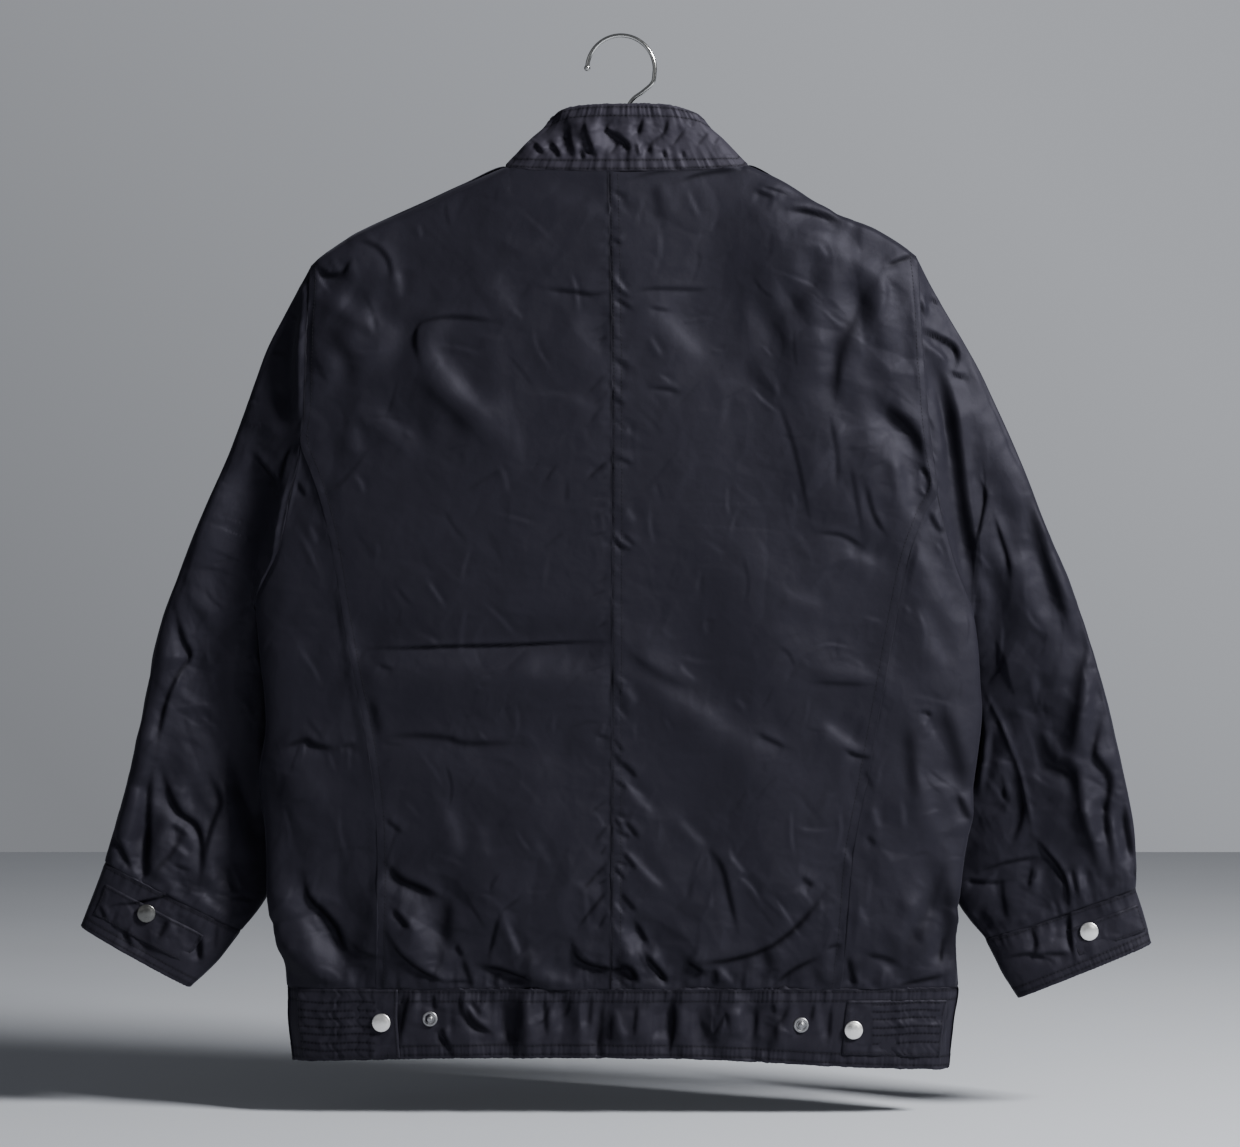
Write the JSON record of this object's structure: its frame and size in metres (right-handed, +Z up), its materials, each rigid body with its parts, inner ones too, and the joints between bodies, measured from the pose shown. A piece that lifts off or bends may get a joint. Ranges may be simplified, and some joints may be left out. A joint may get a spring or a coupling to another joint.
{
  "type": "windbreaker jacket on hanger",
  "caption": "Zip-front windbreaker of dark crinkled cloth, with a gathered stand collar, snap tabs on the waistband and cuffs, hung flat on a hanger with a wire hook.",
  "frame": {"origin": "the inner top of the hanger's hook, where a rod or nail carries it", "axes": "+Z up, the jacket's back faces -Y and its front with the zip +Y, +X is the wearer's right"},
  "size_m": [0.8738, 0.0905, 0.8412],
  "materials": {
    "shell_cloth": "thin crinkled nylon with a soft sheen",
    "band_cloth": "the same cloth doubled, stitched in rows and gathered",
    "snap_metal": "satin silver cap, a little worn",
    "stud_metal": "dull grey ring round a bright post",
    "zip_tape": "woven tape with moulded teeth",
    "zip_metal": "dark, dull cast metal",
    "hook_chrome": "bright plated wire",
    "hanger_plastic": "dark plastic, plain"
  },
  "bodies": {
    "jacket": {"back_left": "shell_cloth", "back_right": "shell_cloth", "collar": "band_cloth", "cuff_left_back": "band_cloth", "cuff_left_front": "band_cloth", "cuff_right_back": "band_cloth", "cuff_right_front": "band_cloth", "cuff_snap_left": "snap_metal", "cuff_snap_right": "snap_metal", "cuff_tab_left": "band_cloth", "cuff_tab_right": "band_cloth", "front_left": "shell_cloth", "front_right": "shell_cloth", "hanger_arms": "hanger_plastic", "hanger_hook": "hook_chrome", "side_left": "shell_cloth", "side_right": "shell_cloth", "sleeve_left_back": "shell_cloth", "sleeve_left_front": "shell_cloth", "sleeve_right_back": "shell_cloth", "sleeve_right_front": "shell_cloth", "waist_back": "band_cloth", "waist_front_left": "band_cloth", "waist_front_right": "band_cloth", "waist_snap_left": "snap_metal", "waist_snap_right": "snap_metal", "waist_stud_left": "stud_metal", "waist_stud_right": "stud_metal", "waist_tab_left": "band_cloth", "waist_tab_right": "band_cloth", "zip_slider": "zip_metal", "zip_tape": "zip_tape"},
    "zip_pull": {"zip_pull": "zip_metal"}
  },
  "joints": [
    {"name": "zip_pull_swing", "type": "hinge", "parent": "jacket", "child": "zip_pull", "pos_m": [0.002, 0.02846, -0.1388], "axis": [1, 0, 0], "range_deg": [0, 150]}
  ]
}
